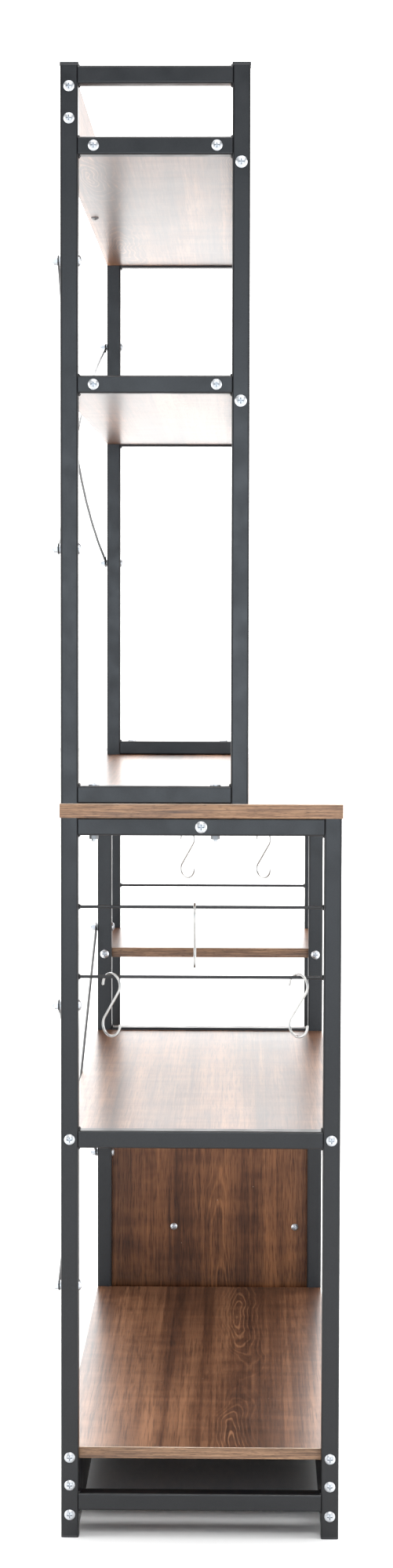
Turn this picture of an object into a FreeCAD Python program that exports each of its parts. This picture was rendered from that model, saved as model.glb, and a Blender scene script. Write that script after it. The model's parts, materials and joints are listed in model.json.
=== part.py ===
import FreeCAD, Part
import math
import os

os.makedirs("parts", exist_ok=True)
Vector = FreeCAD.Vector

# A kitchen shelf: a waist-high stand of welded square tube with a counter on top,
# and a shallower hutch bolted to the back half of the counter. Millimetres.
# X runs along the length, +Y is the back, Z is up, and the floor is at zero.

# Overall sizes
length = 1200.0
depth = 350.0
total_height = 1840.0
hutch_depth = 233.5
stand_height = 912.0
middle_from_left = 880.0

# Square tube of the frames
tube = 22.0
tube_wall = 1.2
tube_corner = 2.5

# Boards
board_thick = 15.0
counter_thick = 18.0
counter_overhang = 1.5
edge_round = 0.8

# Levels in the hutch, as shares of the way from the counter to the top
hutch_upper_share = 0.889
hutch_lower_share = 0.5692
upper_brace_high_share = 0.7363
upper_brace_low_share = 0.3473

# Levels in the stand, as shares of its height, and the bottom board's own level
right_shelf_share = 0.6957
left_shelf_share = 0.557
inner_shelf_share = 0.2204
lower_brace_low_share = 0.352
bottom_board_level = 103.0

# Back board of the hutch: it stands on the upper shelf and ends below the post tops
back_board_below_post = 9.5
back_board_bolt_low_share = 0.32
back_board_bolt_high_share = 0.805

# Shallow shelf and side panels of the right bay
inner_shelf_depth = 272.0
panel_bottom = 15.0
panel_below_rail_top = 2.0
right_panel_drop = 42.0
panel_screw_low = 110.0
panel_screw_below_top = 25.0

# Steel members that run along the length
bar_height = 25.0
counter_bar_height = 22.0
kick_bottom = 10.0
kick_bolt_low = 29.5
kick_bolt_high = 67.5
member_wall = 1.5
member_end_plate = 6.0

# Rails and rods of the end frames
bottom_rail_level = 46.0
rod_diameter = 4.0
upper_rod_below_top = 112.0
rod_spacing = 88.0

# Cross braces
brace_rod_diameter = 4.0
brace_plate_thick = 2.0
brace_plate_width = 14.0
brace_plate_reach = 12.0
brace_below_rod = 36.0
upper_brace_bow = 12.5
brace_bow_lean = 0.4
brace_bow_runs = 12
brace_crossing_gap = 0.4

# Plastic caps and feet
cap_thick = 4.0
cap_overhang = 0.5
foot_thick = 3.0
plug_depth = 12.0
plug_gap = 0.25
plug_corner = 1.0

# Fasteners
bolt_diameter = 6.0
bolt_hole_gap = 0.3
thread_gap = 0.1
bolt_inset = 41.0
bolt_into_board = 28.0
bolt_tip_room = 2.0
shelf_head_diameter = 13.4
shelf_head_height = 3.8
bar_head_diameter = 14.8
bar_head_height = 4.2
screw_diameter = 4.5
screw_length = 34.0
screw_head_diameter = 10.8
screw_head_height = 3.0
insert_diameter = 9.0
insert_length = 16.0
nut_across_flats = 10.0
nut_thick = 5.0
thread_beyond_nut = 3.0
washer_diameter = 12.0
washer_thick = 1.6
recess_width = 1.3
recess_depth = 1.6
recess_share = 0.5

# Hooks
hook_wire = 3.2
hook_height = 82.0
hook_width = 32.0
hook_tip_angle = 185.0
hook_rod_gap = 0.3
hook_turn = 50.0

# Places of the hooks, as shares of the clear depth between the posts
upper_left_hook_share = 0.026
lower_left_back_hook_share = 0.366
lower_left_front_hook_share = -0.399
right_back_hook_share = 0.136
right_front_hook_share = -0.276

# Positions that follow from the sizes
left = -length / 2
right = length / 2
front = -depth / 2
back = depth / 2
hutch_front = back - hutch_depth
half = tube / 2
middle = left + middle_from_left
middle_right = middle + tube
left_inside = left + tube
right_inside = right - tube
counter_top_level = stand_height + counter_thick
hutch_post_top = total_height - cap_thick
hutch_rise = total_height - counter_top_level
hutch_upper_level = counter_top_level + hutch_upper_share * hutch_rise
hutch_lower_level = counter_top_level + hutch_lower_share * hutch_rise
upper_brace_high = counter_top_level + upper_brace_high_share * hutch_rise
upper_brace_low = counter_top_level + upper_brace_low_share * hutch_rise
right_shelf_level = right_shelf_share * stand_height
left_shelf_level = left_shelf_share * stand_height
inner_shelf_level = inner_shelf_share * stand_height
upper_rod_level = stand_height - upper_rod_below_top
lower_rod_level = upper_rod_level - rod_spacing
lower_brace_high = lower_rod_level - brace_below_rod
lower_brace_low = lower_brace_low_share * stand_height
clear_depth = depth - 2 * tube
bolt_radius = bolt_diameter / 2
bolt_hole = bolt_radius + bolt_hole_gap
tapped_hole = bolt_radius + thread_gap
screw_hole = screw_diameter / 2 + thread_gap
insert_hole = insert_diameter / 2 + thread_gap
shelf_bolt_length = tube + bolt_into_board
long_bolt_length = board_thick + shelf_bolt_length
panel_top = left_shelf_level + half - panel_below_rail_top
right_panel_top = panel_top - right_panel_drop
brace_stack = washer_thick + brace_plate_thick + nut_thick + thread_beyond_nut
inner_shelf_back = front + inner_shelf_depth


def save(name, *solids):
    shape = solids[0] if len(solids) == 1 else Part.makeCompound(list(solids))
    shape.exportStep("parts/" + name + ".step")


def turned(shape, direction):
    # Turns a shape built along +Z so that it points along the direction.
    turn = FreeCAD.Rotation(Vector(0, 0, 1), direction)
    shape.Placement = FreeCAD.Placement(Vector(0, 0, 0), turn).multiply(shape.Placement)
    return shape


def moved(shape, place):
    shape.translate(place)
    return shape


def rod(place, direction, run, radius):
    return Part.makeCylinder(radius, run, place, direction)


def rounded_bar(wide, deep, corner, run):
    # A bar with rounded corners, standing on the origin along +Z.
    solid = Part.makeBox(wide, deep, run, Vector(-wide / 2, -deep / 2, 0))
    upright = [e for e in solid.Edges if abs(e.tangentAt(e.FirstParameter).z) > 0.9]
    return solid.makeFillet(corner, upright)


def square_tube(place, direction, run):
    outside = rounded_bar(tube, tube, tube_corner, run)
    bore = tube - 2 * tube_wall
    inside = rounded_bar(bore, bore, tube_corner - tube_wall, run)
    return moved(turned(outside.cut(inside), direction), place)


def drilled(shape, holes):
    return shape.cut(holes) if holes else shape


def board(low, high):
    size = high.sub(low)
    solid = Part.makeBox(size.x, size.y, size.z, low)
    return solid.makeFillet(edge_round, solid.Edges)


def cross_recess(head_diameter, head_height):
    reach = head_diameter * recess_share
    floor = head_height - recess_depth
    bar = Part.makeBox(reach, recess_width, head_height, Vector(-reach / 2, -recess_width / 2, floor))
    crossing = Part.makeBox(recess_width, reach, head_height, Vector(-recess_width / 2, -reach / 2, floor))
    return bar.fuse(crossing)


def pan_head(place, outward, diameter, shank, head_diameter, head_height):
    # A pan-head fastener: the domed head stands outward from place, the shank goes the other way.
    edge = head_diameter / 2
    rim = 0.35 * head_height
    dome = Part.Arc(
        Vector(edge, 0, rim), Vector(0.72 * edge, 0, 0.8 * head_height), Vector(0, 0, head_height)
    ).toShape()
    sides = Part.makePolygon(
        [Vector(0, 0, head_height), Vector(0, 0, 0), Vector(edge, 0, 0), Vector(edge, 0, rim)]
    )
    profile = Part.Face(Part.Wire(sides.Edges + [dome]))
    head = profile.revolve(Vector(0, 0, 0), Vector(0, 0, 1), 360)
    stem = Part.makeCylinder(diameter / 2, shank, Vector(0, 0, -shank))
    tip = [e for e in stem.Edges if abs(e.BoundBox.ZMax + shank) < 0.001 and e.Closed]
    stem = stem.makeChamfer(0.12 * diameter, tip)
    solid = head.fuse(stem).removeSplitter().cut(cross_recess(head_diameter, head_height))
    return moved(turned(solid.Solids[0], outward), place)


def shelf_bolt(place, outward):
    return pan_head(place, outward, bolt_diameter, shelf_bolt_length, shelf_head_diameter, shelf_head_height)


def long_bolt(place, outward):
    return pan_head(place, outward, bolt_diameter, long_bolt_length, shelf_head_diameter, shelf_head_height)


def bar_bolt(place, outward):
    return pan_head(place, outward, bolt_diameter, shelf_bolt_length, bar_head_diameter, bar_head_height)


def panel_screw(place, outward):
    return pan_head(place, outward, screw_diameter, screw_length, screw_head_diameter, screw_head_height)


def hex_nut(place, direction):
    corner = nut_across_flats / math.sqrt(3)
    turns = [math.radians(60 * k + 30) for k in range(7)]
    rim = [Vector(corner * math.cos(a), corner * math.sin(a), 0) for a in turns]
    solid = Part.Face(Part.makePolygon(rim)).extrude(Vector(0, 0, nut_thick))
    solid = solid.cut(Part.makeCylinder(tapped_hole, nut_thick))
    return moved(turned(solid, direction), place)


def ring(place, direction, outer, inner, thick):
    solid = Part.makeCylinder(outer, thick).cut(Part.makeCylinder(inner, thick))
    return moved(turned(solid, direction), place)


along = Vector(1, 0, 0)
against = Vector(-1, 0, 0)
backward = Vector(0, 1, 0)
forward = Vector(0, -1, 0)
up = Vector(0, 0, 1)
down = Vector(0, 0, -1)

# Every hole through a tube is drilled right across it.
post_y = [back - half, front + half]
hutch_post_y = [back - half, hutch_front + half]
hutch_bolt_y = [back - bolt_inset, hutch_front + bolt_inset]
back_board_low = hutch_upper_level + board_thick / 2
back_board_height = hutch_post_top - back_board_below_post - back_board_low
back_board_bolts = []
for share in (back_board_bolt_low_share, back_board_bolt_high_share):
    back_board_bolts.append(back_board_low + share * back_board_height)
kick_bolts = [kick_bolt_low, kick_bolt_high]
left_bolts = [left_shelf_level, bottom_board_level] + kick_bolts
lower_braces = [lower_brace_high, lower_brace_low]
upper_braces = [upper_brace_high, upper_brace_low]
upper_bar_level = hutch_upper_level - board_thick / 2 - bar_height / 2
lower_bar_level = hutch_lower_level - board_thick / 2 - bar_height / 2
counter_bar_level = stand_height - counter_bar_height / 2


def across(x, y, z, radius):
    # A hole along X through the tube that starts at x.
    return rod(Vector(x, y, z), along, tube, radius)


def through_back(x, z):
    # A hole along Y through a back post.
    return rod(Vector(x + half, back - tube, z), backward, tube, bolt_hole)


def stand_post(x, y, bolt_levels, screw_levels, brace_levels):
    solid = square_tube(Vector(x + half, y, foot_thick), up, stand_height - foot_thick)
    holes = [across(x, y, z, bolt_hole) for z in bolt_levels]
    holes += [across(x, y, z, screw_hole) for z in screw_levels]
    holes += [through_back(x, z) for z in brace_levels]
    return drilled(solid, holes)


middle_bolts = left_bolts + [right_shelf_level]
panel_screws_up = [panel_screw_low, right_panel_top - panel_screw_below_top]
save("left_back_post", stand_post(left, post_y[0], left_bolts, [], lower_braces))
save("left_front_post", stand_post(left, post_y[1], left_bolts, [], []))
save("middle_back_post", stand_post(middle, post_y[0], middle_bolts, [], lower_braces))
save("middle_front_post", stand_post(middle, post_y[1], middle_bolts, [], []))
save("right_back_post", stand_post(right_inside, post_y[0], [right_shelf_level], panel_screws_up, []))
save("right_front_post", stand_post(right_inside, post_y[1], [right_shelf_level], panel_screws_up, []))


def stand_rail(x, z, holes):
    return drilled(square_tube(Vector(x + half, front + tube, z), backward, clear_depth), holes)


def mount_holes(x, low, high):
    return [rod(Vector(x + half, y, low), up, high - low, bolt_hole) for y in hutch_bolt_y]


top_rail_level = stand_height - half
counter_bar_holes = [across(x, 0, counter_bar_level, bolt_hole) for x in (left, middle)]
left_mount_holes = mount_holes(left, stand_height - tube, counter_top_level + tube)
right_mount_holes = mount_holes(right_inside, stand_height - tube, counter_top_level + tube)
save("left_top_rail", stand_rail(left, top_rail_level, counter_bar_holes + left_mount_holes))
save("left_shelf_rail", stand_rail(left, left_shelf_level, []))
save("left_bottom_rail", stand_rail(left, bottom_rail_level, []))
save("middle_top_rail", stand_rail(middle, top_rail_level, counter_bar_holes))
save("middle_shelf_rail", stand_rail(middle, left_shelf_level, []))
save("right_top_rail", stand_rail(right_inside, top_rail_level, right_mount_holes))
save("right_bottom_rail", stand_rail(right_inside, bottom_rail_level, []))

# Two round rods for hooks, welded between the posts of each end frame
for side, x in (("left", left), ("right", right_inside)):
    rods = []
    for z in (upper_rod_level, lower_rod_level):
        rods.append(rod(Vector(x + half, front + tube, z), backward, clear_depth, rod_diameter / 2))
    save(side + "_hook_rods", *rods)


def hutch_post(x, y, bolt_levels, brace_levels):
    solid = square_tube(Vector(x + half, y, counter_top_level), up, hutch_post_top - counter_top_level)
    holes = [across(x, y, z, bolt_hole) for z in bolt_levels]
    holes += [through_back(x, z) for z in brace_levels]
    return drilled(solid, holes)


def hutch_rail(x, z, holes):
    run = hutch_depth - 2 * tube
    return drilled(square_tube(Vector(x + half, hutch_front + tube, z), backward, run), holes)


front_bar_levels = [upper_bar_level, lower_bar_level]
hutch_shelf_levels = [hutch_upper_level, hutch_lower_level]
for side, x, mounts in (("left", left, left_mount_holes), ("right", right_inside, right_mount_holes)):
    name = "hutch_" + side
    save(name + "_back_post", hutch_post(x, hutch_post_y[0], back_board_bolts, upper_braces))
    save(name + "_front_post", hutch_post(x, hutch_post_y[1], front_bar_levels, []))
    save(name + "_top_rail", hutch_rail(x, hutch_post_top - half, []))
    shelf_rails = []
    for z in hutch_shelf_levels:
        shelf_rails.append(hutch_rail(x, z, [across(x, y, z, bolt_hole) for y in hutch_bolt_y]))
    save(name + "_shelf_rails", *shelf_rails)
    save(name + "_base_rail", hutch_rail(x, counter_top_level + half, mounts))


def end_bores(x, inward, y, z):
    # A socket for a threaded insert in the end of a board, with room for the bolt's tip behind it.
    place = Vector(x, y, z)
    socket = rod(place, inward, insert_length, insert_hole)
    tip = rod(place, inward, bolt_into_board + bolt_tip_room, bolt_hole)
    return [socket, tip]


def bolted_board(low_x, high_x, low_y, high_y, level, bolt_y):
    solid = board(
        Vector(low_x, low_y, level - board_thick / 2), Vector(high_x, high_y, level + board_thick / 2)
    )
    holes = []
    for y in bolt_y:
        holes += end_bores(low_x, along, y, level)
        holes += end_bores(high_x, against, y, level)
    return drilled(solid, holes)


save("left_shelf", bolted_board(left_inside, middle, front, back, left_shelf_level, post_y))
save("left_bottom_board", bolted_board(left_inside, middle, front, back, bottom_board_level, post_y))
save("right_shelf", bolted_board(middle_right, right_inside, front, back, right_shelf_level, post_y))
save("hutch_lower_shelf", bolted_board(
    left_inside, right_inside, hutch_front, back, hutch_lower_level, hutch_bolt_y))

# A screw at mid-length comes up through the upper hutch shelf into the back board.
back_board_y = back - half
stop_screw_at = Vector(0, back_board_y, hutch_upper_level - board_thick / 2)
stop_screw_hole = rod(stop_screw_at, up, screw_length + bolt_tip_room, screw_hole)
upper_shelf = bolted_board(left_inside, right_inside, hutch_front, back, hutch_upper_level, hutch_bolt_y)
save("hutch_upper_shelf", upper_shelf.cut(stop_screw_hole))
back_board = board(
    Vector(left_inside, back_board_y - board_thick / 2, back_board_low),
    Vector(right_inside, back_board_y + board_thick / 2, back_board_low + back_board_height),
)
back_board_holes = [stop_screw_hole]
for z in back_board_bolts:
    back_board_holes += end_bores(left_inside, along, back_board_y, z)
    back_board_holes += end_bores(right_inside, against, back_board_y, z)
save("hutch_back_board", drilled(back_board, back_board_holes))

counter = board(
    Vector(left - counter_overhang, front - counter_overhang, stand_height),
    Vector(right + counter_overhang, back + counter_overhang, counter_top_level),
)
save("counter_top", drilled(counter, left_mount_holes + right_mount_holes))

# Side panels of the right bay, each on the inner face of a frame, with a shallow shelf between them.
# The middle one reaches up behind the left shelf's rail, and the right one ends lower.
inner_screw_y = [inner_shelf_back - bolt_inset, front + bolt_inset]
panel_left_face = middle_right
panel_right_face = right_inside
inner_low = panel_left_face + board_thick
inner_high = panel_right_face - board_thick


def panel_board(x, top, holes):
    solid = board(Vector(x, front, panel_bottom), Vector(x + board_thick, back, top))
    return drilled(solid, holes)


def screw_bore(x, inward, y, z):
    return rod(Vector(x, y, z), inward, screw_length + bolt_tip_room, screw_hole)


left_inner_screws = [screw_bore(panel_left_face, along, y, inner_shelf_level) for y in inner_screw_y]
right_inner_screws = [screw_bore(panel_right_face, against, y, inner_shelf_level) for y in inner_screw_y]
clamp_holes = []
for y in post_y:
    for z in left_bolts:
        clamp_holes.append(rod(Vector(panel_left_face, y, z), along, board_thick, bolt_hole))
save("middle_side_panel", panel_board(panel_left_face, panel_top, clamp_holes + left_inner_screws))
post_screws = []
for y in post_y:
    for z in panel_screws_up:
        post_screws.append(rod(Vector(right, y, z), against, screw_length + bolt_tip_room, screw_hole))
save("right_side_panel", panel_board(inner_high, right_panel_top, post_screws + right_inner_screws))
inner_shelf = board(
    Vector(inner_low, front, inner_shelf_level - board_thick / 2),
    Vector(inner_high, inner_shelf_back, inner_shelf_level + board_thick / 2),
)
save("right_inner_shelf", drilled(inner_shelf, left_inner_screws + right_inner_screws))


def channel(low_x, high_x, y, low_z, high_z, bolt_levels):
    # A folded channel, open below, with a tapped plate closing each end.
    run = high_x - low_x
    solid = Part.makeBox(run, tube, high_z - low_z, Vector(low_x, y - half, low_z))
    folds = [e for e in solid.Edges if abs(e.tangentAt(e.FirstParameter).x) > 0.9]
    solid = solid.makeFillet(edge_round, folds)
    hollow = Part.makeBox(
        run - 2 * member_end_plate,
        tube - 2 * member_wall,
        high_z - low_z - member_wall,
        Vector(low_x + member_end_plate, y - half + member_wall, low_z),
    )
    solid = solid.cut(hollow)
    return drilled(solid, [rod(Vector(low_x, y, z), along, run, tapped_hole) for z in bolt_levels])


def front_bar(level):
    low = level - bar_height / 2
    return channel(left_inside, right_inside, hutch_post_y[1], low, low + bar_height, [level])


save("hutch_upper_front_bar", front_bar(upper_bar_level))
save("hutch_lower_front_bar", front_bar(lower_bar_level))
save("counter_support_bar", channel(
    left_inside, middle, 0, stand_height - counter_bar_height, stand_height, [counter_bar_level]))
kick_top = bottom_board_level - board_thick / 2
save("back_kick_beam", channel(left_inside, middle, post_y[0], kick_bottom, kick_top, kick_bolts))
save("front_kick_beam", channel(left_inside, middle, post_y[1], kick_bottom, kick_top, kick_bolts))

# Cross braces: each rod has a flattened, drilled plate at both ends. The rods bow outward, and of a
# crossing pair the outer one bows far enough to pass behind the inner one.
plate_y = back + washer_thick
brace_y = plate_y + brace_plate_thick / 2


def brace_plate(x, z, toward):
    half_width = brace_plate_width / 2
    end = rod(Vector(x, plate_y, z), backward, brace_plate_thick, half_width)
    run = math.hypot(toward.x, toward.z)
    strip = Part.makeBox(
        brace_plate_reach, brace_plate_thick, brace_plate_width, Vector(0, 0, -half_width)
    )
    strip.rotate(Vector(0, 0, 0), forward, math.degrees(math.atan2(toward.z / run, toward.x / run)))
    strip.translate(Vector(x, plate_y, z))
    hole = rod(Vector(x, plate_y, z), backward, brace_plate_thick, bolt_hole)
    return end.fuse(strip).removeSplitter().cut(hole)


def bow_at(share, bow):
    # How far a bowed rod stands out at a share of its run; the lean puts the fullest part past the middle.
    return 4 * bow * share * (1 - share) * (1 + brace_bow_lean * (2 * share - 1))


def brace_rod(near, far, bow):
    # A straight rod, or one bowed outward, drawn as short straight runs.
    span = far.sub(near)
    if bow == 0:
        return rod(near, span, span.Length, brace_rod_diameter / 2)
    step = 1 / brace_bow_runs
    sections = []
    for k in range(brace_bow_runs + 1):
        share = k * step
        place = near.add(span * share).add(Vector(0, bow_at(share, bow), 0))
        rise = (bow_at(share + step, bow) - bow_at(share - step, bow)) / (2 * step)
        direction = span.add(Vector(0, rise, 0))
        sections.append(Part.Wire(Part.makeCircle(brace_rod_diameter / 2, place, direction)))
    return Part.makeLoft(sections, True, True)


def brace(start_x, start_z, end_x, end_z, bow):
    start = Vector(start_x, brace_y, start_z)
    end = Vector(end_x, brace_y, end_z)
    run = end.sub(start)
    into_plate = Vector(run).normalize() * (brace_plate_reach - brace_plate_thick)
    round_rod = brace_rod(start.add(into_plate), end.sub(into_plate), bow)
    plates = [brace_plate(start_x, start_z, run), brace_plate(end_x, end_z, run * -1)]
    return round_rod.fuse(plates).removeSplitter().Solids[0]


bow_out = brace_rod_diameter + brace_crossing_gap
left_line = left + half
right_line = right - half
middle_line = middle + half
upper_outer_bow = upper_brace_bow + bow_out
save("upper_brace_inner", brace(left_line, upper_brace_low, right_line, upper_brace_high, upper_brace_bow))
save("upper_brace_outer", brace(left_line, upper_brace_high, right_line, upper_brace_low, upper_outer_bow))
save("lower_brace_inner", brace(left_line, lower_brace_low, middle_line, lower_brace_high, 0))
save("lower_brace_outer", brace(left_line, lower_brace_high, middle_line, lower_brace_low, bow_out))

# Caps on the hutch posts and feet in the stand posts: a flat flange with a plug inside the tube
plug_width = tube - 2 * tube_wall - 2 * plug_gap


def tube_plug(place, into, flange_width, flange_thick):
    flange = rounded_bar(flange_width, flange_width, tube_corner, flange_thick)
    plug = rounded_bar(plug_width, plug_width, plug_corner, plug_depth)
    plug.translate(Vector(0, 0, flange_thick))
    return moved(turned(flange.fuse(plug).removeSplitter().Solids[0], into), place)


caps = []
for x in (left_line, right_line):
    for y in hutch_post_y:
        caps.append(tube_plug(Vector(x, y, total_height), down, tube + 2 * cap_overhang, cap_thick))
save("post_caps", *caps)
feet = []
for x in (left_line, middle_line, right_line):
    for y in post_y:
        feet.append(tube_plug(Vector(x, y, 0), up, tube, foot_thick))
save("foot_plugs", *feet)

# Bolts along X, each through a tube into the end of a board, beam or bar
shelf_bolts = []
inserts = []


def add_insert(x, inward, y, z):
    inserts.append(ring(Vector(x, y, z), inward, insert_diameter / 2, tapped_hole, insert_length))


for z in hutch_shelf_levels:
    for y in hutch_bolt_y:
        shelf_bolts += [shelf_bolt(Vector(left, y, z), against), shelf_bolt(Vector(right, y, z), along)]
        add_insert(left_inside, along, y, z)
        add_insert(right_inside, against, y, z)
for z in back_board_bolts:
    y = back_board_y
    shelf_bolts += [shelf_bolt(Vector(left, y, z), against), shelf_bolt(Vector(right, y, z), along)]
    add_insert(left_inside, along, y, z)
    add_insert(right_inside, against, y, z)
long_bolts = []
for y in post_y:
    for z in left_bolts:
        shelf_bolts.append(shelf_bolt(Vector(left, y, z), against))
        long_bolts.append(long_bolt(Vector(inner_low, y, z), along))
    for z in (left_shelf_level, bottom_board_level):
        add_insert(left_inside, along, y, z)
        add_insert(middle, against, y, z)
    z = right_shelf_level
    shelf_bolts += [shelf_bolt(Vector(middle, y, z), against), shelf_bolt(Vector(right, y, z), along)]
    add_insert(middle_right, along, y, z)
    add_insert(right_inside, against, y, z)
save("shelf_bolts", *shelf_bolts)
save("long_bolts", *long_bolts)
save("threaded_inserts", *inserts)

bar_bolts = []
for z in front_bar_levels:
    y = hutch_post_y[1]
    bar_bolts += [bar_bolt(Vector(left, y, z), against), bar_bolt(Vector(right, y, z), along)]
bar_bolts.append(bar_bolt(Vector(left, 0, counter_bar_level), against))
bar_bolts.append(bar_bolt(Vector(middle_right, 0, counter_bar_level), along))
save("bar_bolts", *bar_bolts)

screws = [panel_screw(stop_screw_at, down)]
for y in inner_screw_y:
    screws.append(panel_screw(Vector(panel_left_face, y, inner_shelf_level), against))
    screws.append(panel_screw(Vector(panel_right_face, y, inner_shelf_level), along))
for y in post_y:
    for z in panel_screws_up:
        screws.append(panel_screw(Vector(right, y, z), along))
save("panel_screws", *screws)

# Bolts along Y hold the brace plates behind the back posts, with a washer and a nut on each.
brace_bolts = []
washers = []
nuts = []
brace_points = [(x, z) for x in (left_line, right_line) for z in upper_braces]
brace_points += [(x, z) for x in (left_line, middle_line) for z in lower_braces]
for x, z in brace_points:
    head_at = Vector(x, back - tube, z)
    shank = tube + brace_stack
    brace_bolts.append(
        pan_head(head_at, forward, bolt_diameter, shank, shelf_head_diameter, shelf_head_height)
    )
    washers.append(ring(Vector(x, back, z), backward, washer_diameter / 2, bolt_hole, washer_thick))
    nuts.append(hex_nut(Vector(x, plate_y + brace_plate_thick, z), backward))
save("brace_bolts", *brace_bolts)
save("brace_washers", *washers)

# Upright bolts clamp the hutch to the counter and the stand's end rails.
mount_bolts = []
mount_shank = tube + counter_thick + tube + nut_thick + thread_beyond_nut
for x in (left_line, right_line):
    for y in hutch_bolt_y:
        head_at = Vector(x, y, counter_top_level + tube)
        mount_bolts.append(
            pan_head(head_at, up, bolt_diameter, mount_shank, shelf_head_diameter, shelf_head_height)
        )
        nuts.append(hex_nut(Vector(x, y, stand_height - tube), down))
save("hutch_mount_bolts", *mount_bolts)
save("hex_nuts", *nuts)

# S-hooks: two equal bends joined by their common slanting tangent. The upper bend hangs on a rod.
wire = hook_wire / 2
bend = hook_width / 2 - wire
bend_centre = hook_height / 2 - wire - bend
slant = math.asin(bend / bend_centre)
hang = bend_centre + bend - wire - rod_diameter / 2 - hook_rod_gap


def on_bend(degrees):
    angle = math.radians(degrees)
    return Vector(bend * math.cos(angle), 0, bend_centre + bend * math.sin(angle))


def hook(x, depth_share, rod_level, turn):
    low_angle = -math.degrees(slant)
    top = Part.Arc(on_bend(hook_tip_angle), on_bend(90), on_bend(low_angle)).toShape()
    low_points = [on_bend(a) * -1 for a in (low_angle, 90, hook_tip_angle)]
    bottom = Part.Arc(*low_points).toShape()
    middle_run = Part.makeLine(on_bend(low_angle), low_points[0])
    path = Part.Wire([top, middle_run, bottom])
    tip_angle = math.radians(hook_tip_angle)
    tip_direction = Vector(math.sin(tip_angle), 0, -math.cos(tip_angle))
    section = Part.Wire(Part.makeCircle(wire, on_bend(hook_tip_angle), tip_direction))
    solid = path.makePipeShell([section], True, False)
    ends = [e for e in solid.Edges if e.Closed and not path_joint(e, low_angle)]
    solid = solid.makeFillet(0.6 * wire, ends)
    solid.rotate(Vector(0, 0, 0), up, turn)
    solid.translate(Vector(x, depth_share * clear_depth, rod_level - hang))
    return solid


def path_joint(edge, low_angle):
    # True for the seam circles where a bend meets the slanting run.
    middle_of_edge = edge.BoundBox.Center
    joints = [on_bend(low_angle), on_bend(low_angle) * -1]
    return min(middle_of_edge.distanceToPoint(j) for j in joints) < wire


save("left_upper_hook", hook(left_line, upper_left_hook_share, upper_rod_level, 180))
save("left_back_hook", hook(left_line, lower_left_back_hook_share, lower_rod_level, 180 + hook_turn))
save("left_front_hook", hook(left_line, lower_left_front_hook_share, lower_rod_level, 180 + hook_turn))
save("right_back_hook", hook(right_line, right_back_hook_share, upper_rod_level, 180 + hook_turn))
save("right_front_hook", hook(right_line, right_front_hook_share, upper_rod_level, 180 + hook_turn))
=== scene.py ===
import json
import math

import bmesh
import bpy
from mathutils import Matrix, Vector


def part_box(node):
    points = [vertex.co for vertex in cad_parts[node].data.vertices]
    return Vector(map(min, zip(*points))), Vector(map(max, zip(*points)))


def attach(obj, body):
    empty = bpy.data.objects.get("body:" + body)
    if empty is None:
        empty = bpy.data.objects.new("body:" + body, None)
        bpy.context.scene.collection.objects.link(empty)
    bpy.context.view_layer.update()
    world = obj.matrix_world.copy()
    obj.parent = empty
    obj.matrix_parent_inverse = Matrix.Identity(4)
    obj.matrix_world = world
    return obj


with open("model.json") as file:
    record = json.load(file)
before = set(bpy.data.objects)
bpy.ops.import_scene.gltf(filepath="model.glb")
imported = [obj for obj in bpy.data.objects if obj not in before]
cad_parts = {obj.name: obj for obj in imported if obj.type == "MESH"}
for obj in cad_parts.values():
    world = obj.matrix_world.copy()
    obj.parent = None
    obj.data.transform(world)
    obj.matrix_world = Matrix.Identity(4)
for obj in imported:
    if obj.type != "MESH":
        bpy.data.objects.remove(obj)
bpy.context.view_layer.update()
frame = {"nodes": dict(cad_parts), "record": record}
nodes = frame["nodes"]
print("frame:", len(nodes), "nodes")


# small helpers for shader nodes

white = (1.0, 1.0, 1.0)


def startMaterial(name):
    material = bpy.data.materials.new(name)
    material.use_nodes = True
    tree = material.node_tree
    return material, tree, tree.nodes["Principled BSDF"]


def addNode(tree, kind, **settings):
    node = tree.nodes.new(kind)
    for key, value in settings.items():
        setattr(node, key, value)
    return node


def setInputs(node, **values):
    for key, value in values.items():
        node.inputs[key.replace("_", " ")].default_value = value


def objectCoords(tree, turn=(0, 0, 0), shift=(0, 0, 0)):
    coords = addNode(tree, "ShaderNodeTexCoord")
    mapping = addNode(tree, "ShaderNodeMapping")
    mapping.inputs["Rotation"].default_value = [math.radians(a) for a in turn]
    mapping.inputs["Location"].default_value = shift
    tree.links.new(coords.outputs["Object"], mapping.inputs["Vector"])
    return mapping.outputs["Vector"]


def noise(tree, vector, scale, detail=3.0, roughness=0.5, distortion=0.0):
    node = addNode(tree, "ShaderNodeTexNoise")
    setInputs(node, Scale=scale, Detail=detail, Roughness=roughness, Distortion=distortion)
    tree.links.new(vector, node.inputs["Vector"])
    return node.outputs["Fac"]


def grain(tree, vector, perMetre, **settings):
    # noise drawn out along the axes that have fewer waves per metre
    mapping = addNode(tree, "ShaderNodeMapping")
    mapping.inputs["Scale"].default_value = perMetre
    tree.links.new(vector, mapping.inputs["Vector"])
    return noise(tree, mapping.outputs["Vector"], 1.0, **settings)


def math2(tree, operation, a, b=None):
    node = addNode(tree, "ShaderNodeMath", operation=operation)
    for socket, value in zip(node.inputs, (a, b)):
        if value is None:
            continue
        if isinstance(value, (int, float)):
            socket.default_value = value
        else:
            tree.links.new(value, socket)
    return node.outputs[0]


def plus(tree, a, b):
    return math2(tree, "ADD", a, b)


def times(tree, a, b):
    return math2(tree, "MULTIPLY", a, b)


def spread(tree, value, low, high, fromLow=0.3, fromHigh=0.7):
    # 0.3 to 0.7 holds nearly all of a noise
    node = addNode(tree, "ShaderNodeMapRange")
    tree.links.new(value, node.inputs["Value"])
    node.inputs["From Min"].default_value = fromLow
    node.inputs["From Max"].default_value = fromHigh
    node.inputs["To Min"].default_value = low
    node.inputs["To Max"].default_value = high
    return node.outputs["Result"]


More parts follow.
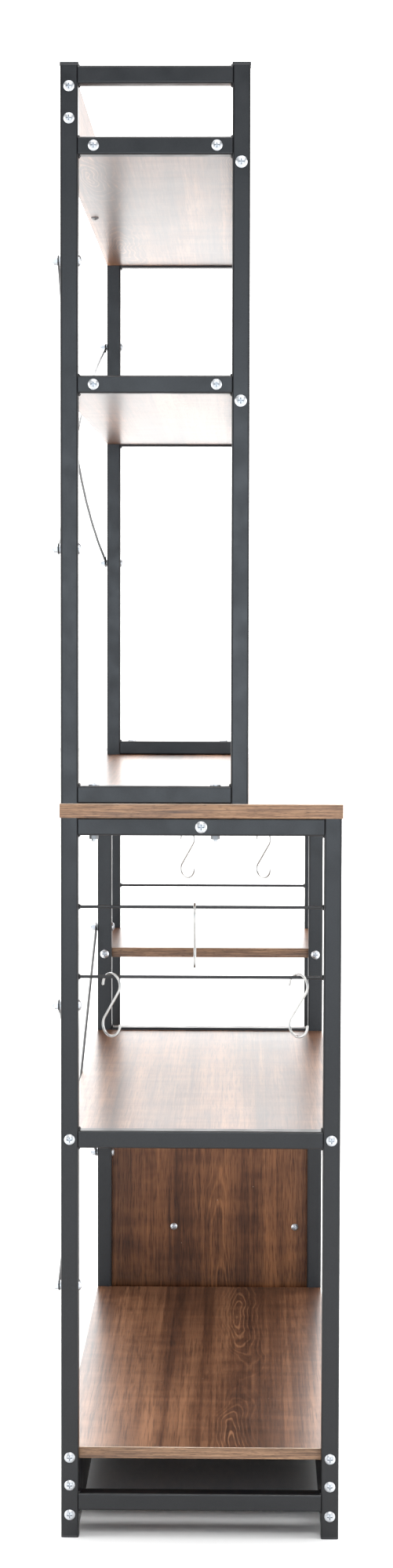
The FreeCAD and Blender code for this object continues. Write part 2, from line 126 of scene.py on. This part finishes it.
def sway(tree, value, reach):
    return spread(tree, value, -reach, reach)


def ramp(tree, value, places, colours):
    node = addNode(tree, "ShaderNodeValToRGB")
    tree.links.new(value, node.inputs["Fac"])
    elements = node.color_ramp.elements
    while len(elements) < len(places):
        elements.new(0.5)
    for element, place, colour in zip(elements, places, colours):
        element.position = place
        element.color = (*colour, 1)
    return node.outputs["Color"]


def blendColours(tree, how, amount, first, second):
    node = addNode(tree, "ShaderNodeMix", data_type="RGBA", blend_type=how)
    if isinstance(amount, (int, float)):
        node.inputs["Factor"].default_value = amount
    else:
        tree.links.new(amount, node.inputs["Factor"])
    tree.links.new(first, node.inputs["A"])
    tree.links.new(second, node.inputs["B"])
    return node.outputs["Result"]


def addBump(tree, shader, height, strength, distance):
    bump = addNode(tree, "ShaderNodeBump")
    setInputs(bump, Strength=strength, Distance=distance)
    tree.links.new(height, bump.inputs["Height"])
    tree.links.new(bump.outputs["Normal"], shader.inputs["Normal"])


# black paint on the steel

powderCoat = {
    "dark": (0.0040, 0.0043, 0.0052),
    "light": (0.0078, 0.0083, 0.0098),
    "toneStops": (0.36, 0.64),
    "patchScale": 9.0,
    "patchShare": 0.6,
    "speckScale": 420.0,
    "speckShare": 0.4,
    "shine": 0.37,
    "smearScale": 36.0,
    "roughLow": 0.28,
    "roughHigh": 0.38,
    "peelScale": 520.0,
    "peelStrength": 0.2,
    "peelDepth": 0.00012,
}


def makePowderCoat(look):
    material, tree, shader = startMaterial("blackPowderCoat")
    shader.inputs["Specular IOR Level"].default_value = look["shine"]
    coords = objectCoords(tree)
    patches = noise(tree, coords, look["patchScale"], detail=5.0, roughness=0.6)
    specks = noise(tree, coords, look["speckScale"], detail=2.0)
    tone = plus(tree, times(tree, patches, look["patchShare"]), times(tree, specks, look["speckShare"]))
    colour = ramp(tree, tone, look["toneStops"], (look["dark"], look["light"]))
    tree.links.new(colour, shader.inputs["Base Color"])
    smears = noise(tree, coords, look["smearScale"], detail=4.0)
    tree.links.new(spread(tree, smears, look["roughLow"], look["roughHigh"]), shader.inputs["Roughness"])
    peel = noise(tree, coords, look["peelScale"], detail=2.0)
    addBump(tree, shader, peel, look["peelStrength"], look["peelDepth"])
    return material


# walnut laminate: grain runs along the turned X axis, and the face lies across the turned Z axis

walnut = {
    "turn": (0, 0, 0),
    "shift": (0.64, 0.085, 0.0),
    "alongShare": 0.4,  # fewer waves along the grain draw longer fibres
    "dark": (0.031, 0.0122, 0.0062),
    "middle": (0.110, 0.0465, 0.0228),
    "light": (0.302, 0.146, 0.075),
    "toneStops": (0.310, 0.445, 0.62),
    "gloss": 0.5,
    "sheen": 0.295,
    "sheenDown": 0.006,
    "sheenUp": 0.008,
    "smearScale": 21.0,
    "endShift": 3.7,  # how far the figure moves along and across for each metre of depth
    "sideShift": 0.31,
    "stripWidth": 0.100,
    "stripUneven": 0.3,
    "stripTone": 0.07,
    "unevenWaves": (0.1, 9.0, 9.0),
    "heartReach": 1.3,
    "heartWander": 0.16,
    "wanderWaves": (3.5, 1.0, 3.0),
    "archRun": 0.36,
    "archOffset": 2.0,
    "taper": 0.085,
    "archDrift": 0.0035,
    "driftWaves": (7.0, 16.0, 9.0),
    "ringPitch": 0.0046,
    "ringFrill": 0.0007,
    "frillWaves": (18.0, 70.0, 50.0),
    "ringStops": (0.0, 0.34, 0.56, 0.78, 1.0),
    "ringTones": (0.40, 0.36, 0.80, 0.36, 0.40),
    "ringMiddle": 0.46,
    "ringNear": 0.56,  # strength close to the heart, and further out
    "ringFar": 0.05,
    "ringFade": (0.008, 0.034),
    "bandWaves": (1.1, 21.0, 15.0),
    "bandShare": 0.52,
    "streakWaves": (4.0, 210.0, 160.0),
    "streakShare": 0.38,
    "curlWaves": (42.0, 11.0, 9.0),
    "curlTone": 0.035,
    "poreWaves": (46.0, 620.0, 620.0),
    "poreStops": (0.33, 0.49),
    "poreColour": (0.42, 0.38, 0.36),
    "poreShare": 0.85,
    "dustScale": 5.5,
    "dustSize": 0.0042,
    "dustCore": 0.6,
    "dustShare": 0.75,
    "dustStops": (0.3, 0.7),
    "dustColour": (0.52, 0.44, 0.36),
    "pebbleScale": 850.0,
    "pebbleStrength": 0.02,
    "pebbleDepth": 0.00001,
}
shadePaintedWalnut = dict(  # the side panels: a darker copy of the walnut, painted shade for upright faces that get less light
    walnut,
    turn=(0, 90, 0),
    shift=(0.12, 0.155, 0.0),
    alongShare=1.0,
    gloss=0.22,
    dark=(0.023, 0.0078, 0.0034),
    middle=(0.084, 0.0310, 0.0125),
    light=(0.245, 0.102, 0.042),
)
matteWalnut = dict(walnut, turn=(90, 0, 0), shift=(0.64, 1.77, 0.0), sheen=0.41)  # the hutch's back board


def fibreWaves(look, waves):
    return (waves[0] * look["alongShare"], waves[1], waves[2])


def pickStrips(tree, look, coords, lie):
    # strips of wood side by side, each with its own random numbers
    uneven = grain(tree, coords, look["unevenWaves"], detail=1.0)
    strips = plus(tree, times(tree, lie, 1.0 / look["stripWidth"]), sway(tree, uneven, look["stripUneven"]))
    pick = addNode(tree, "ShaderNodeTexWhiteNoise", noise_dimensions="1D")
    tree.links.new(math2(tree, "FLOOR", strips), pick.inputs["W"])
    picks = addNode(tree, "ShaderNodeSeparateColor")
    tree.links.new(pick.outputs["Color"], picks.inputs["Color"])
    inStrip = math2(tree, "SUBTRACT", math2(tree, "FRACT", strips), 0.5)
    return picks.outputs, inStrip


def drawRings(tree, look, coords, along, picks, inStrip):
    # rings round each strip's heart, which open into arches along the strip
    wander = grain(tree, coords, look["wanderWaves"], detail=2.0)
    drift = grain(tree, coords, look["driftWaves"], detail=2.0)
    frill = grain(tree, coords, fibreWaves(look, look["frillWaves"]), detail=3.0)
    heartSide = spread(tree, picks["Red"], -look["heartReach"], look["heartReach"], 0.0, 1.0)
    across = math2(tree, "SUBTRACT", inStrip, heartSide)
    across = plus(tree, across, sway(tree, wander, look["heartWander"]))
    across = times(tree, across, look["stripWidth"])
    swing = plus(tree, along, times(tree, picks["Green"], look["archOffset"]))
    rise = times(tree, math2(tree, "PINGPONG", swing, look["archRun"]), look["taper"])
    rise = plus(tree, rise, sway(tree, drift, look["archDrift"]))
    heart = math2(tree, "SQRT", plus(tree, times(tree, across, across), times(tree, rise, rise)))
    radius = plus(tree, heart, sway(tree, frill, look["ringFrill"]))
    rings = math2(tree, "FRACT", times(tree, radius, 1.0 / look["ringPitch"]))
    line = ramp(tree, rings, look["ringStops"], [(tone, tone, tone) for tone in look["ringTones"]])
    strength = spread(tree, heart, look["ringNear"], look["ringFar"], *look["ringFade"])
    return times(tree, math2(tree, "SUBTRACT", line, look["ringMiddle"]), strength)


def makeWalnut(name, look):
    material, tree, shader = startMaterial(name)
    shader.inputs["Specular IOR Level"].default_value = look["gloss"]
    coords = objectCoords(tree, look["turn"], look["shift"])
    axes = addNode(tree, "ShaderNodeSeparateXYZ")
    tree.links.new(coords, axes.inputs["Vector"])
    along = plus(tree, axes.outputs["X"], times(tree, axes.outputs["Z"], look["endShift"]))
    lie = plus(tree, axes.outputs["Y"], times(tree, axes.outputs["Z"], look["sideShift"]))
    picks, inStrip = pickStrips(tree, look, coords, lie)
    line = drawRings(tree, look, coords, along, picks, inStrip)

    bands = grain(tree, coords, look["bandWaves"], detail=3.0)
    streaks = grain(tree, coords, fibreWaves(look, look["streakWaves"]), detail=6.0, roughness=0.66)
    curl = grain(tree, coords, look["curlWaves"], detail=2.0)
    tone = plus(tree, times(tree, bands, look["bandShare"]), times(tree, streaks, look["streakShare"]))
    tone = plus(tree, tone, spread(tree, picks["Blue"], -look["stripTone"], look["stripTone"], 0.0, 1.0))
    tone = plus(tree, tone, line)
    tone = plus(tree, tone, sway(tree, curl, look["curlTone"]))
    colour = ramp(tree, tone, look["toneStops"], (look["dark"], look["middle"], look["light"]))
    pores = grain(tree, coords, fibreWaves(look, look["poreWaves"]), detail=2.0)
    poreDark = ramp(tree, pores, look["poreStops"], (look["poreColour"], white))
    colour = blendColours(tree, "MULTIPLY", look["poreShare"], colour, poreDark)

    dust = addNode(tree, "ShaderNodeTexVoronoi", voronoi_dimensions="2D")
    dust.inputs["Scale"].default_value = look["dustScale"]
    tree.links.new(coords, dust.inputs["Vector"])
    core = look["dustCore"] * look["dustSize"]
    dustHere = spread(tree, dust.outputs["Distance"], look["dustShare"], 0.0, core, look["dustSize"])
    pale = ramp(tree, streaks, look["dustStops"], (look["dustColour"], look["light"]))
    colour = blendColours(tree, "MIX", dustHere, colour, pale)
    tree.links.new(colour, shader.inputs["Base Color"])

    smears = noise(tree, coords, look["smearScale"], detail=3.0)
    rough = spread(tree, smears, look["sheen"] - look["sheenDown"], look["sheen"] + look["sheenUp"])
    tree.links.new(rough, shader.inputs["Roughness"])
    pebble = noise(tree, coords, look["pebbleScale"], detail=2.0)
    addBump(tree, shader, pebble, look["pebbleStrength"], look["pebbleDepth"])
    return material


# edge band round the boards

edgeBand = {
    "dark": (0.060, 0.027, 0.013),
    "middle": (0.215, 0.112, 0.055),
    "light": (0.400, 0.232, 0.124),
    "toneStops": (0.35, 0.50, 0.66),
    "streakWaves": (17.0, 17.0, 700.0),
    "streakShare": 0.72,
    "broadWaves": (5.0, 5.0, 130.0),
    "broadShare": 0.28,
    "tickWaves": (110.0, 110.0, 1300.0),
    "tickStops": (0.32, 0.45),
    "tickColour": (0.34, 0.28, 0.24),
    "tickShare": 0.75,
    "roughLow": 0.36,
    "roughHigh": 0.50,
    "bumpStrength": 0.12,
    "bumpDepth": 0.00015,
}
# painted highlight along the boards' upper arris
arrisHighlight = {
    "highlightDim": (0.46, 0.35, 0.26),
    "pale": (0.70, 0.57, 0.46),
    "paleStops": (0.35, 0.55),
    "share": 0.9,
    "fromLean": (0.15, 0.35),
}


def makeEdgeBand(name, look, topHighlight=None):
    material, tree, shader = startMaterial(name)
    coords = objectCoords(tree)
    streaks = grain(tree, coords, look["streakWaves"], detail=5.0, roughness=0.66, distortion=0.3)
    broad = grain(tree, coords, look["broadWaves"], detail=3.0)
    tone = plus(tree, times(tree, streaks, look["streakShare"]), times(tree, broad, look["broadShare"]))
    colour = ramp(tree, tone, look["toneStops"], (look["dark"], look["middle"], look["light"]))
    ticks = grain(tree, coords, look["tickWaves"], detail=2.0)
    tickDark = ramp(tree, ticks, look["tickStops"], (look["tickColour"], white))
    colour = blendColours(tree, "MULTIPLY", look["tickShare"], colour, tickDark)
    if topHighlight:
        # painted highlight: the upper edge, where it leans upward, is painted as a pale line of caught
        # light
        facing = addNode(tree, "ShaderNodeSeparateXYZ")
        tree.links.new(addNode(tree, "ShaderNodeTexCoord").outputs["Normal"], facing.inputs["Vector"])
        pale = ramp(tree, streaks, topHighlight["paleStops"], (topHighlight["highlightDim"], topHighlight["pale"]))
        upward = spread(tree, facing.outputs["Z"], 0.0, topHighlight["share"], *topHighlight["fromLean"])
        colour = blendColours(tree, "MIX", upward, colour, pale)
    tree.links.new(colour, shader.inputs["Base Color"])
    tree.links.new(spread(tree, broad, look["roughLow"], look["roughHigh"]), shader.inputs["Roughness"])
    addBump(tree, shader, streaks, look["bumpStrength"], look["bumpDepth"])
    return material


# bare metals and plastic

# wear on the bare metals, and painted shade in their recesses (the crevice settings)
metalWearAndShade = {
    "patchShare": 0.86,
    "patchStops": (0.3, 0.65),
    "creviceReach": 0.0022,
    "creviceShadeColour": (0.24, 0.27, 0.31),
    "creviceStops": (0.30, 0.82),
    "scratchFineness": 6,
    "scratchStrength": 0.15,
}
zincPlate = {
    "colour": (0.60, 0.62, 0.645),
    "rough": (0.40, 0.52),
    "patchScale": 180.0,
    "scratchDepth": 0.00006,
}
# a darker copy of the zinc, painted shade on fasteners that sit in shadow
shadedZinc = dict(zincPlate, colour=(0.24, 0.245, 0.25), rough=(0.44, 0.56))
brightNickel = {
    "colour": (0.47, 0.465, 0.455),
    "rough": (0.27, 0.35),
    "patchScale": 140.0,
    "scratchDepth": 0.000008,
}
plainBrass = {
    "colour": (0.68, 0.50, 0.22),
    "rough": (0.30, 0.42),
    "patchScale": 160.0,
    "scratchDepth": 0.0001,
}


def makeMetal(name, look, wearAndShade):
    material, tree, shader = startMaterial(name)
    shader.inputs["Metallic"].default_value = 1.0
    coords = objectCoords(tree)
    patches = noise(tree, coords, look["patchScale"], detail=4.0)
    darker = tuple(wearAndShade["patchShare"] * c for c in look["colour"])
    base = ramp(tree, patches, wearAndShade["patchStops"], (darker, look["colour"]))
    # painted shade: recesses, such as the cross in a screw head, are darkened wherever ambient occlusion
    # finds them
    crevice = addNode(tree, "ShaderNodeAmbientOcclusion", samples=6, only_local=True)
    crevice.inputs["Distance"].default_value = wearAndShade["creviceReach"]
    shade = ramp(tree, crevice.outputs["AO"], wearAndShade["creviceStops"], (wearAndShade["creviceShadeColour"], white))
    tree.links.new(blendColours(tree, "MULTIPLY", 1.0, base, shade), shader.inputs["Base Color"])
    tree.links.new(spread(tree, patches, *look["rough"]), shader.inputs["Roughness"])
    scratches = noise(tree, coords, look["patchScale"] * wearAndShade["scratchFineness"], detail=2.0)
    addBump(tree, shader, scratches, wearAndShade["scratchStrength"], look["scratchDepth"])
    return material


mouldedPlastic = {
    "dark": (0.010, 0.010, 0.011),
    "light": (0.020, 0.020, 0.022),
    "toneStops": (0.3, 0.7),
    "patchScale": 60.0,
    "rough": (0.45, 0.6),
    "sparkScale": 1500.0,
    "sparkStrength": 0.3,
    "sparkDepth": 0.0001,
}


def makePlastic(look):
    material, tree, shader = startMaterial("blackPlastic")
    coords = objectCoords(tree)
    patches = noise(tree, coords, look["patchScale"], detail=3.0)
    colour = ramp(tree, patches, look["toneStops"], (look["dark"], look["light"]))
    tree.links.new(colour, shader.inputs["Base Color"])
    tree.links.new(spread(tree, patches, *look["rough"]), shader.inputs["Roughness"])
    spark = noise(tree, coords, look["sparkScale"], detail=2.0)
    addBump(tree, shader, spark, look["sparkStrength"], look["sparkDepth"])
    return material


# which look goes on which node

paint = makePowderCoat(powderCoat)
flatWalnut = makeWalnut("walnutFlat", walnut)
uprightWalnut = makeWalnut("walnutUpright", shadePaintedWalnut)
backWalnut = makeWalnut("walnutBack", matteWalnut)
band = makeEdgeBand("walnutEdgeBand", edgeBand)
arrisHighlightBand = makeEdgeBand("paintedArrisHighlight", edgeBand, arrisHighlight)
zinc = makeMetal("zincPlate", zincPlate, metalWearAndShade)
nickel = makeMetal("brightNickel", brightNickel, metalWearAndShade)
shadePaintedZinc = makeMetal("shadePaintedZinc", shadedZinc, metalWearAndShade)
brass = makeMetal("plainBrass", plainBrass, metalWearAndShade)
plastic = makePlastic(mouldedPlastic)
slotLooks = {
    "black_steel": paint,
    "zinc_fasteners": zinc,
    "bright_hooks": nickel,
    "black_plastic": plastic,
    "brass_inserts": brass,
}
boardLooks = {  # the look of the face, and the axis that the face looks along; other boards lie flat
    "middle_side_panel": (uprightWalnut, 0),
    "right_side_panel": (uprightWalnut, 0),
    "hutch_back_board": (backWalnut, 1),
}
boardSides = {"faceLean": 0.95, "arrisLean": 0.3}
shadedSteel = [  # node, axis, and the stretch along it that takes the darker zinc, painted shade
    ("panel_screws", 2, 1.5, 2.0),  # the one screw under the upper hutch shelf
    ("hex_nuts", 1, -0.2, 0.17),  # the nuts under the counter, not those behind the posts
]


def dressBoard(node, face, axis):
    mesh = node.data
    mesh.materials.clear()
    for look in (face, band, arrisHighlightBand):
        mesh.materials.append(look)
    for polygon in mesh.polygons:
        lean = abs(polygon.normal[axis])
        if lean > boardSides["faceLean"]:
            polygon.material_index = 0
        else:
            polygon.material_index = 2 if lean > boardSides["arrisLean"] else 1  # arris band with a painted highlight where it faces up, or the band


for entry in frame["record"]["subparts"]:
    name = entry["node"]
    if entry["material_slot"] == "walnut_board":
        face, axis = boardLooks.get(name, (flatWalnut, 2))
        dressBoard(nodes[name], face, axis)
    else:
        nodes[name].data.materials.clear()
        nodes[name].data.materials.append(slotLooks[entry["material_slot"]])
# painted shade: these stretches of the nodes take the darker zinc
for name, axis, low, high in shadedSteel:
    mesh = nodes[name].data
    mesh.materials.append(shadePaintedZinc)
    for polygon in mesh.polygons:
        polygon.material_index = 1 if low < polygon.center[axis] < high else 0


# weld beads in the corners where rails and rods meet the posts

weldBead = {
    "radius": 0.0021,
    "ripples": 9,
    "rippleShare": 0.22,
    "endShare": 0.6,
    "sides": 10,
    "inset": 0.0022,
    "sink": 0.0003,
    "rodCollar": 0.0038,
    "rodCollarRun": 0.0026,
    "rodCollarTip": 0.0021,
    "rodCollarWaist": (0.45, 0.85),  # shares of the run and of the collar's radius
    "rodCollarSides": 14,
    "oneTube": 0.05,  # a node less tall than this holds one tube or rod
    "weldDistance": 1e-6,
}


def addSpun(shape, points, axis, centre, steps):
    verts = [shape.verts.new(p) for p in points]
    edges = [shape.edges.new(pair) for pair in zip(verts, verts[1:])]
    bmesh.ops.spin(
        shape, geom=verts + edges, cent=centre, axis=axis, dvec=(0, 0, 0), angle=2 * math.pi, steps=steps,
        use_merge=True, use_duplicate=False,
    )


def addBead(shape, low, high, place):
    # a rippled seam along X from low to high
    count = 2 * weldBead["ripples"]
    points = [Vector((low, place.y, place.z))]
    for k in range(count + 1):
        thin = weldBead["rippleShare"] if k % 2 else 0.0
        end = weldBead["endShare"] if k in (0, count) else 1.0
        along = low + (high - low) * (k + 0.5) / (count + 1)
        points.append(Vector((along, place.y, place.z + end * (1 - thin) * weldBead["radius"])))
    points.append(Vector((high, place.y, place.z)))
    addSpun(shape, points, (1, 0, 0), place, weldBead["sides"])


def addCollar(shape, place, outward):
    # a small cone of weld round a rod, against the post
    run = weldBead["rodCollarRun"] * outward
    runShare, radiusShare = weldBead["rodCollarWaist"]
    points = [
        place,
        place + Vector((0, 0, weldBead["rodCollar"])),
        place + Vector((0, runShare * run, radiusShare * weldBead["rodCollar"])),
        place + Vector((0, run, weldBead["rodCollarTip"])),
        place + Vector((0, run, 0)),
    ]
    addSpun(shape, points, (0, 1, 0), place, weldBead["rodCollarSides"])


def finishPiece(name, shape, material):
    bmesh.ops.remove_doubles(shape, verts=shape.verts, dist=weldBead["weldDistance"])
    bmesh.ops.recalc_face_normals(shape, faces=shape.faces)
    mesh = bpy.data.meshes.new(name)
    shape.to_mesh(mesh)
    shape.free()
    for polygon in mesh.polygons:
        polygon.use_smooth = True
    piece = bpy.data.objects.new(name, mesh)
    bpy.context.scene.collection.objects.link(piece)
    mesh.materials.append(material)
    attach(piece, "rack")


def solidBoxes(name):
    # the low and high corners of each tube or rod in a node: one, or a lower and an upper one
    low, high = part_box(name)
    if high.z - low.z < weldBead["oneTube"]:
        return [(low, high)]
    tube = high.x - low.x
    return [
        (Vector((low.x, low.y, low.z)), Vector((high.x, high.y, low.z + tube))),
        (Vector((low.x, low.y, high.z - tube)), Vector((high.x, high.y, high.z))),
    ]


def weldRail(shape, name, above, below):
    for low, high in solidBoxes(name):
        levels = [high.z + weldBead["sink"]] * above + [low.z - weldBead["sink"]] * below
        for z in levels:
            for y, inward in ((low.y, 1), (high.y, -1)):
                place = Vector(((low.x + high.x) / 2, y + inward * weldBead["sink"], z))
                addBead(shape, low.x + weldBead["inset"], high.x - weldBead["inset"], place)


def weldRods(shape, name):
    for low, high in solidBoxes(name):
        middle = (low + high) / 2
        addCollar(shape, Vector((middle.x, low.y, middle.z)), 1)
        addCollar(shape, Vector((middle.x, high.y, middle.z)), -1)


weldedFrames = {  # each rail with its number of seams above and below
    "leftStandWelds": [("left_top_rail", 0, 1), ("left_shelf_rail", 1, 1), ("left_bottom_rail", 1, 1)],
    "middleStandWelds": [("middle_top_rail", 0, 1), ("middle_shelf_rail", 1, 1)],
    "rightStandWelds": [("right_top_rail", 0, 1), ("right_bottom_rail", 1, 1)],
    "hutchLeftWelds": [
        ("hutch_left_top_rail", 1, 1), ("hutch_left_shelf_rails", 1, 1), ("hutch_left_base_rail", 1, 0),
    ],
    "hutchRightWelds": [
        ("hutch_right_top_rail", 1, 1), ("hutch_right_shelf_rails", 1, 1), ("hutch_right_base_rail", 1, 0),
    ],
}
weldedRods = {"leftStandWelds": "left_hook_rods", "rightStandWelds": "right_hook_rods"}
for pieceName, rails in weldedFrames.items():
    shape = bmesh.new()
    for railName, above, below in rails:
        weldRail(shape, railName, above, below)
    if pieceName in weldedRods:
        weldRods(shape, weldedRods[pieceName])
    finishPiece(pieceName, shape, paint)
print("welds on", len(weldedFrames), "frames")


# floor, wall and light

studio = {
    "floorSize": 42.0,
    "floorColour": (0.88, 0.88, 0.88),
    "floorRough": 0.9,
    "skyColour": (0.98, 0.99, 1.0),
    "skyStrength": 0.19,
    "skyShown": 0.92,
    "wallAt": 19.5,
    "wallWide": 42.0,
    "wallTall": 30.0,
    "wallColour": (0.9, 0.9, 0.9),
    "wallGlow": 1.12,
    "wallFill": 1.3,
    "wallFillGap": 0.5,
}
softboxes = {
    "backSoftbox": {"at": (-0.6, 2.6, 1.3), "aim": (0, 0, 0.8), "size": (2.0, 2.2), "power": 56.0},
    "frontSoftbox": {"at": (-0.6, -2.6, 1.3), "aim": (0, 0, 0.8), "size": (2.0, 2.2), "power": 56.0},
    "topSoftbox": {"at": (0.4, 0, 4.2), "aim": (0.2, 0, 0), "size": (4.4, 4.0), "power": 175.0},
    "farSoftbox": {"at": (9.0, 0, 7.0), "aim": (9.0, 0, 0), "size": (14.0, 9.0), "power": 1550.0},
    "cameraSoftbox": {
        "at": (-12.0, -0.4, 1.30), "aim": (-0.6, 0, 1.30), "size": (6.0, 2.0), "power": 370.0,
        "colour": (0.80, 0.90, 1.0),
    },
    "faceSoftbox": {"at": (-4.0, -0.5, 4.8), "aim": (-0.6, 0, 0.9), "size": (2.2, 1.4), "power": 160.0},
}


def addSheet(name, turn, wide, tall, material):
    shape = bmesh.new()
    bmesh.ops.create_grid(shape, x_segments=1, y_segments=1, size=0.5)
    bmesh.ops.transform(shape, matrix=turn @ Matrix.Diagonal((wide, tall, 1, 1)), verts=shape.verts)
    mesh = bpy.data.meshes.new(name)
    shape.to_mesh(mesh)
    shape.free()
    sheet = bpy.data.objects.new(name, mesh)
    bpy.context.scene.collection.objects.link(sheet)
    mesh.materials.append(material)


def addFloor(look):
    material, _, shader = startMaterial("paleFloorPaint")
    setInputs(shader, Base_Color=(*look["floorColour"], 1), Roughness=look["floorRough"])
    addSheet("paleFloor", Matrix.Identity(4), look["floorSize"], look["floorSize"], material)


def addWall(look):
    # the bright studio wall beyond the far end
    material, _, shader = startMaterial("brightWallPaper")
    setInputs(shader, Base_Color=(*look["wallColour"], 1), Roughness=1.0)
    setInputs(shader, Emission_Color=(*white, 1), Emission_Strength=look["wallGlow"])
    place = Matrix.Translation((look["wallAt"], 0, look["wallTall"] / 2))
    turn = place @ Matrix.Rotation(math.radians(-90), 4, "Y")
    addSheet("brightWall", turn, look["wallTall"], look["wallWide"], material)


def addSky(look):
    world = bpy.data.worlds.new("whiteRoom")
    world.use_nodes = True
    tree = world.node_tree
    background = tree.nodes["Background"]
    background.inputs["Color"].default_value = (*look["skyColour"], 1)
    rays = addNode(tree, "ShaderNodeLightPath")  # the backdrop itself looks pale, its light stays low
    shown = spread(tree, rays.outputs["Is Camera Ray"], look["skyStrength"], look["skyShown"], 0.0, 1.0)
    tree.links.new(shown, background.inputs["Strength"])
    bpy.context.scene.world = world


def addSoftbox(name, look):
    data = bpy.data.lights.new(name, "AREA")
    data.shape = "RECTANGLE"
    data.size, data.size_y = look["size"]
    data.energy = look["power"]
    data.color = look.get("colour", white)
    box = bpy.data.objects.new(name, data)
    bpy.context.scene.collection.objects.link(box)
    box.location = look["at"]
    box.rotation_euler = (Vector(look["aim"]) - Vector(look["at"])).to_track_quat("-Z", "Y").to_euler()


def addWallFill(look):
    # a light as large as the wall, just before it
    middle = look["wallTall"] / 2
    addSoftbox("wallFill", {
        "at": (look["wallAt"] - look["wallFillGap"], 0, middle),
        "aim": (0, 0, middle),
        "size": (look["wallWide"], look["wallTall"]),
        "power": look["wallFill"] * math.pi * (look["wallWide"] * look["wallTall"]),
    })


addFloor(studio)
addSky(studio)
addWall(studio)
addWallFill(studio)
for boxName, boxLook in softboxes.items():
    addSoftbox(boxName, boxLook)
print("floor, wall and", len(softboxes) + 1, "lights set")


# camera at the photograph's viewpoint

cameraPlace = {
    "fromLeftEnd": 3.546,
    "y": -0.0568,
    "z": 1.1754,
    "yaw": 1.0136,
    "pitch": 3.56,
    "roll": 0.1236,
    "lens": 65.67,
    "sensorWidth": 36.0,
    "clipEnd": 100.0,
}


def addCamera(place):
    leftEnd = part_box("left_back_post")[0].x
    yaw, pitch, roll = (math.radians(place[key]) for key in ("yaw", "pitch", "roll"))
    forward = Vector((math.cos(yaw) * math.cos(pitch), math.sin(yaw) * math.cos(pitch), -math.sin(pitch)))
    level = Vector((math.sin(yaw), -math.cos(yaw), 0))
    upright = level.cross(forward)
    side = level * math.cos(roll) + upright * math.sin(roll)
    top = upright * math.cos(roll) - level * math.sin(roll)
    data = bpy.data.cameras.new("photoCamera")
    data.sensor_width = place["sensorWidth"]
    data.lens = place["lens"]
    data.clip_end = place["clipEnd"]
    camera = bpy.data.objects.new("photoCamera", data)
    bpy.context.scene.collection.objects.link(camera)
    spot = Matrix.Translation((leftEnd - place["fromLeftEnd"], place["y"], place["z"]))
    turn = Matrix((side, top, -forward)).transposed().to_4x4()
    camera.matrix_world = spot @ turn
    bpy.context.scene.camera = camera


addCamera(cameraPlace)
bpy.context.scene.view_settings.view_transform = "Standard"
print("camera set")
